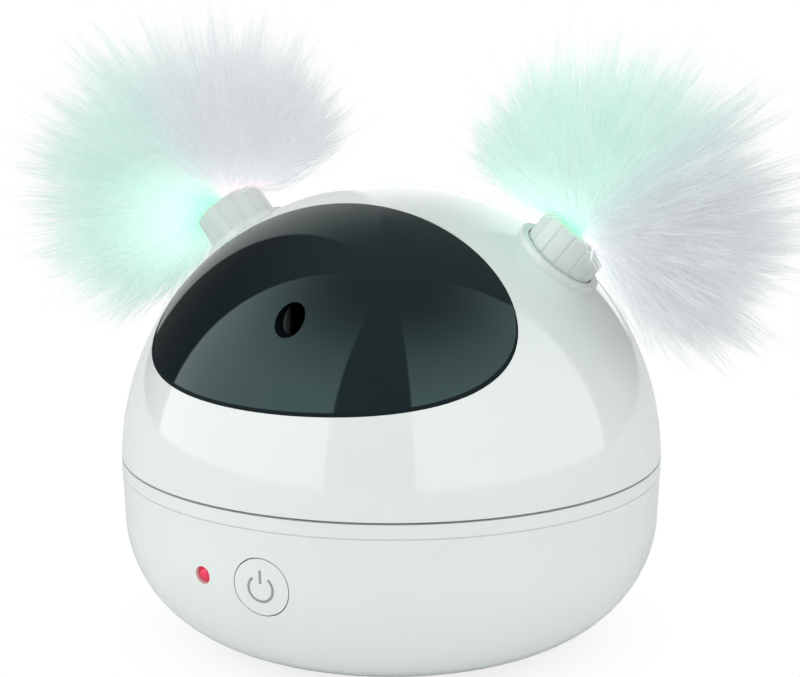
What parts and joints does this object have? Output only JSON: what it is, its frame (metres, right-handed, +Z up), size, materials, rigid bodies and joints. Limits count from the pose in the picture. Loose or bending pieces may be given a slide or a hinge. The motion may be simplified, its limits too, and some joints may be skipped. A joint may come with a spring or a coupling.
{
  "type": "automatic cat laser toy",
  "caption": "Ball-shaped cat toy: a turning dome with a tilting laser behind a tinted oval visor and fluffy lit ears, on a flat-bottomed bowl with a power button.",
  "frame": {"origin": "on the floor under the middle of the bowl", "axes": "+Z up, -Y the front with the visor and the button, +X towards one ear"},
  "size_m": [0.1416, 0.1, 0.1129],
  "materials": {
    "white_shell": "gloss",
    "smoked_visor": "gloss",
    "fluff": "fluffy fibre",
    "foot_rubber": "matte",
    "inner_plastic": "matte",
    "gear_plastic": "satin",
    "black_plastic": "matte",
    "dark_metal": "satin",
    "board_green": "satin",
    "steel": "brushed",
    "brass": "satin",
    "cell_sleeve": "satin",
    "lamp_red": "clear",
    "lamp_green": "clear",
    "lens_clear": "polished"
  },
  "bodies": {
    "base": {"base_bowl": "white_shell", "base_deck": "white_shell", "deck_screws": "steel", "rubber_feet": "foot_rubber", "battery_cell": "cell_sleeve", "main_board": "board_green", "main_board_parts": "black_plastic", "board_screws": "steel", "charging_socket": "steel", "front_board": "board_green", "tact_switch": "black_plastic", "power_led": "lamp_red", "drive_motor": "steel", "motor_gearbox": "steel", "motor_screws": "steel", "thrust_washer": "gear_plastic", "retaining_ring": "steel", "brush_block": "black_plastic", "brush_springs": "brass"},
    "head": {"head_dome": "white_shell", "visor": "smoked_visor", "head_plate": "inner_plastic", "head_gear": "gear_plastic", "head_screws": "steel", "slip_ring": "black_plastic", "slip_ring_tracks": "brass", "laser_bracket": "inner_plastic", "bracket_screws": "steel", "tilt_motor": "steel", "head_board": "board_green", "head_board_parts": "black_plastic", "head_board_posts": "inner_plastic", "ear_hub_left": "white_shell", "ear_hub_right": "white_shell", "ear_tuft_left": "fluff", "ear_tuft_right": "fluff", "ear_board_left": "board_green", "ear_board_right": "board_green", "ear_led_green_left": "lamp_green", "ear_led_green_right": "lamp_green", "ear_led_red_left": "lamp_red", "ear_led_red_right": "lamp_red"},
    "drive_pinion": {"drive_pinion": "gear_plastic", "motor_shaft": "steel"},
    "power_button": {"power_button": "white_shell", "switch_plunger": "black_plastic"},
    "laser": {"laser_cradle": "black_plastic", "laser_barrel": "dark_metal", "laser_lens": "lens_clear", "tilt_sector": "gear_plastic"},
    "tilt_pinion": {"tilt_pinion": "gear_plastic"}
  },
  "joints": [
    {"name": "head_turn", "type": "hinge", "parent": "base", "child": "head", "pos_m": [0, 0, 0.0375], "axis": [0, 0, 1], "continuous": true},
    {"name": "pinion_spin", "type": "hinge", "parent": "base", "child": "drive_pinion", "pos_m": [-0.0225, 0, 0.0352], "axis": [0, 0, 1], "continuous": true},
    {"name": "button_press", "type": "slide", "parent": "base", "child": "power_button", "axis": [0, 1, 0], "range_m": [0, 0.0005], "stiffness_N_per_m": 400, "springref_m": -0.001},
    {"name": "laser_tilt", "type": "hinge", "parent": "head", "child": "laser", "pos_m": [0, -0.02601, 0.0652], "axis": [1, 0, 0], "range_deg": [-8, 10]},
    {"name": "tilt_pinion_spin", "type": "hinge", "parent": "head", "child": "tilt_pinion", "pos_m": [0, -0.02601, 0.0532], "axis": [1, 0, 0], "range_deg": [-31, 25]}
  ],
  "couplings": [
    {"joint": "pinion_spin", "follows": "head_turn", "ratio": -4},
    {"joint": "tilt_pinion_spin", "follows": "laser_tilt", "ratio": -3}
  ]
}
